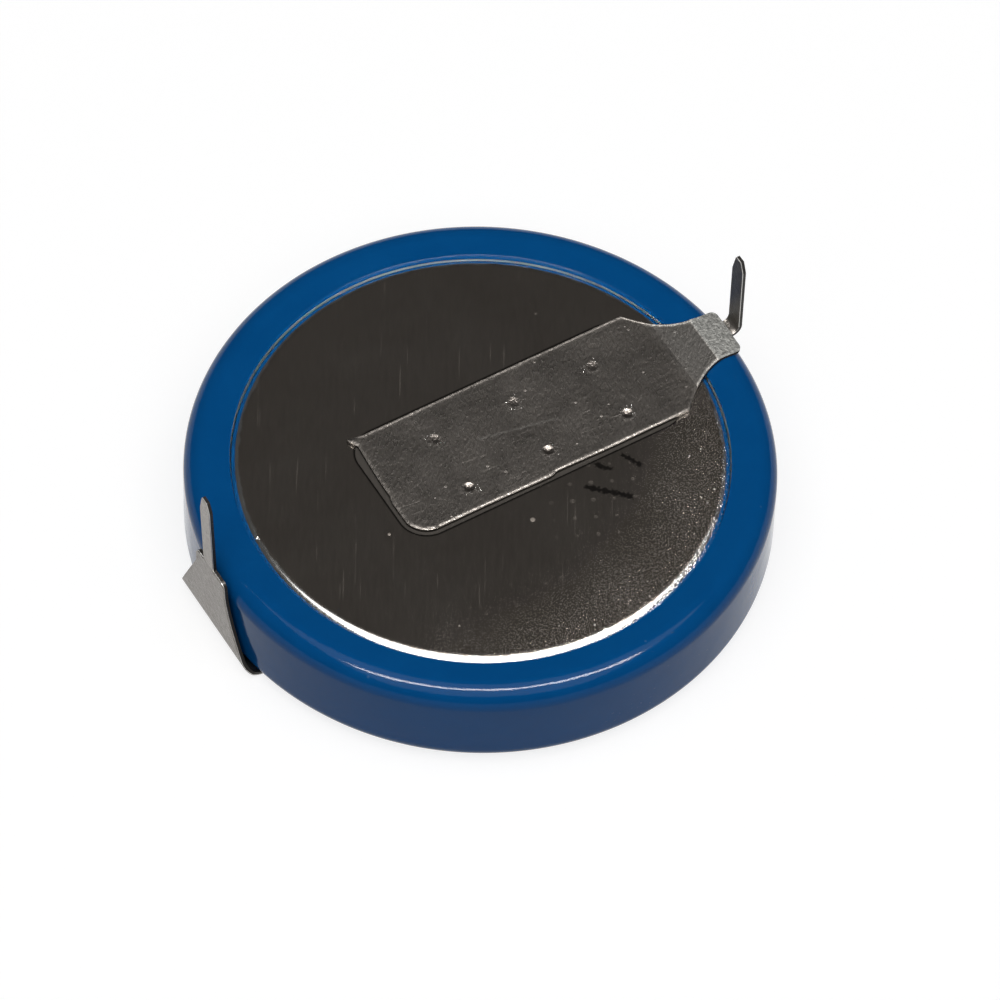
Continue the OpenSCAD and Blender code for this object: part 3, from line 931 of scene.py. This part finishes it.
def cap_material():
    """Dark-looking bright steel: faint grain, specks, a faint dot lattice, a rubbed shoulder, and painted
    shade beside the strap's pad.
    """
    cap = Finish("steel_cap")
    grain = cap.effect(GRAIN, Angle=CAP_GRAIN, Stretch=7.0, Size=0.13, Contrast=1.7)
    tone = cap.effect(MOTTLE, Size=3.2, Contrast=1.8)
    lines = cap.effect(SCRATCHES, Angle=CAP_GRAIN, Width=0.12, Share=0.10)
    stray = cap.effect(SPECKS, Spacing=1.5, Width=0.2, Share=0.3, Looseness=1.0)
    radius = cap.vector("LENGTH", cap.vector("MULTIPLY", cap.place, (1, 1, 0)))
    x, y = cap.add("ShaderNodeSeparateXYZ", {0: cap.place}).outputs[:2]
    near_side = cap.ramp(cap.minus(cap.times(x, 0.55), y), -1.0, 7.5)
    near_side = cap.times(near_side, cap.ramp(radius, 2.5, 8.0))
    pricks = cap.effect(SPECKS, Spacing=0.27, Width=0.14, Share=0.5, Looseness=1.0)
    pricks = cap.times(pricks, near_side)
    sparkle = cap.effect(GRAIN, Angle=CAP_GRAIN, Stretch=1.4, Size=0.055, Contrast=3.0)
    amount = cap.plus(cap.math("POWER", near_side, 1.1), cap.ramp(tone, 0.5, 1.0, 0.0, 0.2))
    sparkle = cap.times(cap.ramp(sparkle, 0.5, 1.0), amount)
    lattice = {"Vector": cap.place, "Rotation": (0, 0, LATTICE_TURN)}
    lattice = cap.vector("MULTIPLY", cap.first("ShaderNodeMapping", lattice), (1, 1, 0))
    dots = cap.effect(SPECKS, Vector=lattice, Spacing=0.73, Width=0.2, Share=1.1, Looseness=0.0)
    from_dots = cap.vector("DISTANCE", cap.place, LATTICE_MIDDLE)
    dots = cap.times(dots, cap.ramp(from_dots, *LATTICE_FADE, 1.0, 0.0))
    shoulder = CAP_R - CAP_SHOULDER_R
    rub = cap.ramp(radius, shoulder - 0.05, shoulder + 0.3)
    rub = cap.effect(EDGE_WEAR_AND_HIGHLIGHT, Edge=rub, Size=0.5, Amount=0.75)
    scuffs = cap.most(*(
        cap.effect(STROKE, From=(*first, CAP_FACE), To=(*last, CAP_FACE), Width=width)
        for first, last, width in CAP_SCUFFS
    ))
    nicked = {"From": (*CAP_NICK, CAP_FACE - 0.05), "To": (*CAP_NICK, CAP_FACE)}
    nicked = cap.effect(STROKE, Width=0.13, **nicked)
    beside = beside_pad(cap, x, y)
    # Painted shade: a dark band on the cap along the strap's pad, with a narrower rougher band inside it
    painted_shade = cap.ramp(beside, *PAINTED_SHADE_FADE, 1.0, 0.0)
    dulled = cap.ramp(beside, *PAINTED_SHADE_DULL_FADE, 1.0, 0.0)

    color = cap.mix(tone, (0.47, 0.41, 0.355), (0.56, 0.50, 0.44))
    color = cap.tint(color, cap.ramp(grain, 0.35, 0.85), 0.4, (0.33, 0.285, 0.25))
    color = cap.mix(rub, color, (0.83, 0.82, 0.79))
    color = cap.tint(color, scuffs, 0.85, (0.06, 0.054, 0.05))
    # painted shade beside the strap's pad
    color = cap.mix(painted_shade, color, (0.05, 0.045, 0.04))
    marks = cap.shares(
        (pricks, 0.12), (stray, 0.2), (lines, 0.07), (sparkle, 0.09), (dots, 0.08), (dulled, 0.4)
    )
    rough = cap.plus(cap.ramp(grain, 0.2, 0.9, 0.13, 0.18), cap.most(*marks))
    pits = cap.most(cap.times(stray, 0.4), nicked)
    height = cap.plus(*cap.shares((grain, 0.1), (pricks, 0.16), (sparkle, 0.24), (pits, 1.2)))
    height = cap.minus(height, cap.times(dots, 0.25))
    return cap.done(color, rough, height, 0.012, Metallic=1)


def strap_material():
    """Nickel strip: mottled satin grain, sheared edges lighter along their top, partly as bright cut metal
    and partly as a painted highlight, and near black below as painted shade, darkened and roughened welds,
    and painted shade on its climb and uprights.
    """
    strap = Finish("strap_steel", STRIP_UV)
    grain = strap.effect(GRAIN, Angle=CAP_GRAIN, Stretch=2.2, Size=0.10, Contrast=2.4)
    streaks = strap.effect(GRAIN, Angle=0.0, Stretch=9.0, Size=0.16, Contrast=1.8)
    tone = strap.effect(MOTTLE, Size=1.1, Contrast=1.7)
    pricks = strap.effect(SPECKS, Spacing=0.45, Width=0.13, Share=0.35, Looseness=1.0)
    lines = strap.effect(SCRATCHES, Angle=0.12, Width=0.07, Share=0.11)
    blobs = strap.effect(MOTTLE, Size=0.12, Contrast=2.4)
    crater = strap.effect(MOTTLE, Size=0.07, Contrast=2.5)
    scrape = strap.effect(STROKE, From=SCRAPE[0], To=SCRAPE[1], Width=0.07)
    edge, depth, heat, tinned, dulled = (
        strap.add("ShaderNodeAttribute", attribute_name=mark).outputs["Fac"] for mark in STRIP_MARKS
    )
    # Sheared walls: the upper band is lighter, partly bright cut metal and partly a painted highlight; the
    # rougher torn band below is painted near black as shade
    edge = strap.effect(EDGE_WEAR_AND_HIGHLIGHT, Edge=edge, Size=0.4, Amount=0.6)
    torn_band_shade = strap.times(edge, strap.ramp(depth, 0.19, 0.27))

    color = strap.mix(grain, (0.13, 0.116, 0.102), (0.32, 0.292, 0.264))
    color = strap.tint(color, streaks, 0.3, (0.20, 0.184, 0.168))
    color = strap.tint(color, strap.ramp(heat, 0.3, 0.95), 0.75, (0.16, 0.14, 0.125))
    # painted shade: the climb, the upright plate and the pin are darkened
    color = strap.tint(color, dulled, 0.6, (0.08, 0.077, 0.072))
    color = strap.tint(color, scrape, 0.35, (0.52, 0.49, 0.45))
    solder = strap.mix(blobs, (0.115, 0.115, 0.108), (0.28, 0.276, 0.26))
    color = strap.mix(tinned, color, solder)
    # painted highlight, partly real: the lighter upper band of the sheared walls
    color = strap.mix(edge, color, (0.72, 0.71, 0.68))
    # painted shade: the lower band of the sheared walls near black
    color = strap.mix(torn_band_shade, color, (0.035, 0.033, 0.031))
    rough = strap.plus(
        strap.ramp(grain, 0, 1, 0.32, 0.26),
        strap.ramp(tone, 0, 1, -0.01, 0.03),
        strap.times(strap.most(pricks, lines), 0.12),
        strap.times(dulled, 0.08),
        strap.times(strap.most(edge, torn_band_shade), 0.12),
    )
    rough = strap.math("ADD", rough, strap.times(tinned, 0.4), clamp=True)
    height = strap.plus(*strap.shares(
        (grain, 0.75), (streaks, 0.2), (strap.times(crater, heat), 0.7),
        (strap.times(blobs, tinned), 2.0), (pricks, 0.5),
    ))
    return strap.done(color, rough, height, 0.012, Metallic=1)


def can_material():
    """Drawn and nickel-plated steel of the can, the collector ring and the weld spatter."""
    can = Finish("steel_can")
    grain = can.effect(GRAIN, Angle=0.3, Stretch=8.0, Size=0.14, Contrast=1.8)
    tone = can.effect(MOTTLE, Size=2.4, Contrast=1.6)
    pricks = can.effect(SPECKS, Spacing=0.7, Width=0.16, Share=0.3, Looseness=1.0)
    lines = can.effect(SCRATCHES, Angle=1.1, Width=0.1, Share=0.12)
    color = can.mix(tone, (0.52, 0.505, 0.475), (0.62, 0.61, 0.585))
    color = can.tint(color, grain, 0.4, (0.44, 0.425, 0.40))
    color = can.tint(color, pricks, 0.6, (0.25, 0.235, 0.22))
    rough = can.plus(can.ramp(grain, 0, 1, 0.18, 0.3), can.times(lines, 0.14))
    height = can.minus(*can.shares((grain, 0.5), (lines, 0.4)))
    return can.done(color, rough, height, 0.01, Metallic=1)


def gasket_material():
    """Translucent white polypropylene with flow marks from its moulding."""
    gasket = Finish("gasket_plastic")
    flow = gasket.effect(GRAIN, Angle=0.0, Stretch=3.0, Size=0.9, Contrast=1.5)
    fine = gasket.effect(MOTTLE, Size=0.12, Contrast=1.4)
    color = gasket.mix(flow, (0.66, 0.69, 0.70), (0.76, 0.78, 0.78))
    rough = gasket.ramp(fine, 0, 1, 0.38, 0.52)
    return gasket.done(color, rough, fine, 0.006, Subsurface_Weight=0.25, Subsurface_Scale=0.0004)


def pellet_material():
    """Pressed black powder: grains with a few graphite glints."""
    pellet = Finish("black_pellet")
    grains = pellet.effect(MOTTLE, Size=0.08, Contrast=2.4)
    tone = pellet.effect(MOTTLE, Size=1.4, Contrast=1.5)
    glints = pellet.effect(SPECKS, Spacing=0.16, Width=0.05, Share=0.2, Looseness=1.0)
    color = pellet.mix(grains, (0.012, 0.012, 0.013), (0.040, 0.039, 0.038))
    color = pellet.tint(color, tone, 0.3, (0.030, 0.027, 0.025))
    color = pellet.mix(glints, color, (0.12, 0.12, 0.125))
    return pellet.done(color, pellet.ramp(glints, 0, 1, 0.86, 0.4), grains, 0.03)


def felt_material():
    """Thin white nonwoven: two layers of crossing fibres."""
    felt = Finish("white_felt")
    fibres = felt.most(*(
        felt.effect(GRAIN, Angle=angle, Stretch=14.0, Size=0.05, Contrast=3.0) for angle in (0.6, -0.9)
    ))
    color = felt.mix(fibres, (0.62, 0.61, 0.585), (0.86, 0.855, 0.84))
    return felt.done(color, felt.ramp(fibres, 0, 1, 0.95, 0.8), fibres, 0.03, Sheen_Weight=0.3)


def lithium_material():
    """Soft silvery metal, dull in patches and wiped in one direction."""
    lithium = Finish("lithium_metal")
    tarnish = lithium.effect(MOTTLE, Size=2.0, Contrast=2.4)
    wiped = lithium.effect(GRAIN, Angle=0.9, Stretch=12.0, Size=0.12, Contrast=2.0)
    color = lithium.mix(tarnish, (0.42, 0.425, 0.44), (0.68, 0.685, 0.70))
    color = lithium.tint(color, wiped, 0.3, (0.50, 0.50, 0.515))
    return lithium.done(color, lithium.ramp(tarnish, 0, 1, 0.55, 0.34), wiped, 0.012, Metallic=1)


# Weld spatter: beads scattered in a ring round each weld

def scattered_beads(build, start):
    points = build.first("GeometryNodeMeshToPoints", {"Mesh": start["Geometry"]})
    many = {"Geometry": points, "Amount": start["Count"]}
    many = build.first("GeometryNodeDuplicateElements", many, domain="POINT")

    def chance(low, high, turn):
        inputs = {2: low, 3: high, "Seed": build.plus(start["Seed"], turn)}
        return build.add("FunctionNodeRandomValue", inputs, data_type="FLOAT").outputs[1]

    angle = chance(0.0, 2 * math.pi, 0.0)
    reach = build.plus(start["Ring"], build.times(chance(-1.0, 1.0, 1.0), start["Spread"]))
    offset = build.xyz(*(build.times(build.math(part, angle), reach) for part in ("COSINE", "SINE")))
    return build.first("GeometryNodeInstanceOnPoints", {
        "Points": build.first("GeometryNodeSetPosition", {"Geometry": many, "Offset": offset}),
        "Instance": build.first("GeometryNodeMeshIcoSphere", {"Radius": start["Bead"], "Subdivisions": 2}),
        "Rotation": build.xyz(z=angle),
        "Scale": build.xyz(chance(0.5, 1.4, 2.0), chance(0.5, 1.2, 3.0), chance(0.35, 0.7, 4.0)),
    })


BEAD_NUMBERS = {"Count": "Int", "Ring": "Float", "Spread": "Float", "Bead": "Float", "Seed": "Int"}
SCATTERED_BEADS = new_maker("weld spatter", BEAD_NUMBERS, scattered_beads)


def weld_spatter(name, face_z, way, shift, material, seed):
    """Beads round a strap's six welds. way is 1 for the negative strap, which runs to +X."""
    mesh = bpy.data.meshes.new(name + "_welds")
    mesh.from_pydata([(way * x * MM, (shift + y) * MM, face_z * MM) for x, y, _ in WELDS], [], [])
    sizes = {"Ring": BEAD_RING_R * MM, "Spread": BEAD_SPREAD * MM, "Bead": BEAD_R * MM}
    piece = grown(name, mesh, SCATTERED_BEADS, Material=material, Count=BEADS, Seed=seed, **sizes)
    smooth(piece.data, 60)
    return piece


# Pieces

film = film_material()
cap_steel = cap_material()
strap_steel = strap_material()
can_steel = can_material()
pieces = (
    (turned_piece("shrunk_sleeve", sleeve_outline(), film), "insulating_sleeve", "blue_film"),
    (turned_piece("pressed_cap", cap_outline(), cap_steel), "anode_cap", "steel_cap"),
    (negative_strap(strap_steel), "negative_tab", "strap_steel"),
    (positive_strap(strap_steel), "positive_tab", "strap_steel"),
    (weld_spatter("negative_weld_spatter", NEG_TOP, 1, NEG_SHIFT, can_steel, 3), None, "strap_steel"),
    (
        weld_spatter("positive_weld_spatter", POS_UNDERSIDE, -1, POS_SHIFT, can_steel, 7),
        None, "strap_steel",
    ),
)
for piece, node, slot in pieces:
    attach(piece, "root")
    if node:
        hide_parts(node)

inner_finishes = {
    "cathode_can": can_steel,
    "cathode_ring": can_steel,
    "cathode_pellet": pellet_material(),
    "separator": felt_material(),
    "lithium_anode": lithium_material(),
    "seal_gasket": gasket_material(),
}
for node_name, material in inner_finishes.items():
    for slot in bpy.data.objects[node_name].material_slots:
        slot.material = material


# Camera, light and floor

def toward(azimuth, zenith):
    """A direction: degrees round from the camera's side, and degrees from straight up."""
    a, z = math.radians(VIEW_AZIMUTH + azimuth), math.radians(zenith)
    return Vector((math.sin(a) * math.sin(z), -math.cos(a) * math.sin(z), math.cos(z)))


def add_camera():
    """Looks at the cell from the photographed side, a little rolled."""
    data = bpy.data.cameras.new("view")
    data.lens, data.sensor_width = VIEW_LENS, 36
    data.clip_start, data.clip_end = 0.01, 10
    camera = in_scene("view", data)
    back = toward(0, 90 - VIEW_ELEVATION)
    level = Vector((0, 0, 1)).cross(back).normalized()
    upright = back.cross(level)
    right = level * math.cos(VIEW_ROLL) + upright * math.sin(VIEW_ROLL)
    up = upright * math.cos(VIEW_ROLL) - level * math.sin(VIEW_ROLL)
    aim = Vector((0, 0, LIP_BOTTOM)) + right * AIM_RIGHT + up * AIM_UP
    place = Matrix.Translation((aim + back * VIEW_DISTANCE) * MM)
    camera.matrix_world = place @ Matrix((right, up, back)).transposed().to_4x4()
    bpy.context.scene.camera = camera


def add_softbox(name, azimuth, zenith, distance, width, height, radiance, glint_only=False):
    """A rectangular lamp that faces the object, in metres, with its radiance as white 1."""
    data = bpy.data.lights.new(name, "AREA")
    data.shape, data.size, data.size_y = "RECTANGLE", width, height
    data.energy = radiance * math.pi * width * height
    lamp = in_scene(name, data)
    way = toward(azimuth, zenith)
    lamp.location = way * distance
    lamp.rotation_mode = "QUATERNION"
    lamp.rotation_quaternion = way.to_track_quat("Z", "Y")
    lamp.visible_diffuse = not glint_only


def add_world():
    """A studio that is dim above and light in a low band, which the side walls reflect."""
    world = bpy.data.worlds.new("studio")
    bpy.context.scene.world = world
    world.use_nodes = True
    build = Tree(world.node_tree)
    way = build.add("ShaderNodeTexCoord").outputs["Generated"]
    height = build.add("ShaderNodeSeparateXYZ", {0: way}).outputs["Z"]
    low, high = (math.sin(math.radians(angle)) for angle in BAND_EDGES)
    studio = world.node_tree.nodes["Background"].inputs
    build.link((1, 1, 1, 1), studio["Color"])
    build.link(build.ramp(height, low, high, BAND_LEVEL, DIM_LEVEL), studio["Strength"])


def add_floor():
    """A plain pale floor, shown nearly white to the camera and in what metal and film reflect."""
    mesh = bpy.data.meshes.new("floor")
    corners = [(x * FLOOR_REACH, y * FLOOR_REACH, 0) for x, y in ((-1, -1), (1, -1), (1, 1), (-1, 1))]
    mesh.from_pydata(corners, [], [(0, 1, 2, 3)])
    floor = in_scene("floor", mesh)
    material = bpy.data.materials.new("floor")
    material.use_nodes = True
    material.node_tree.nodes.clear()
    build = Tree(material.node_tree)
    path = build.add("ShaderNodeLightPath").outputs
    seen = build.most(*(path[f"Is {kind} Ray"] for kind in ("Camera", "Glossy", "Transmission")))
    plain, faint = (
        build.first("ShaderNodeBsdfDiffuse", {"Color": (level, level, level, 1)})
        for level in (FLOOR_LIT, FLOOR_SEEN)
    )
    glow = build.first("ShaderNodeEmission", {"Color": (1, 1, 1, 1), "Strength": FLOOR_GLOW})
    shown = build.first("ShaderNodeAddShader", {0: faint, 1: glow})
    both = build.first("ShaderNodeMixShader", {0: seen, 1: plain, 2: shown})
    build.add("ShaderNodeOutputMaterial", {"Surface": both})
    mesh.materials.append(material)


add_camera()
add_world()
add_softbox("wide_softbox", 6, 17, distance=0.62, width=0.76, height=0.76, radiance=2.0)
add_softbox("strip_lamp", 13, 14, distance=0.6, width=0.6, height=0.08, radiance=55, glint_only=True)
add_floor()

bpy.context.scene.view_settings.view_transform = "Standard"
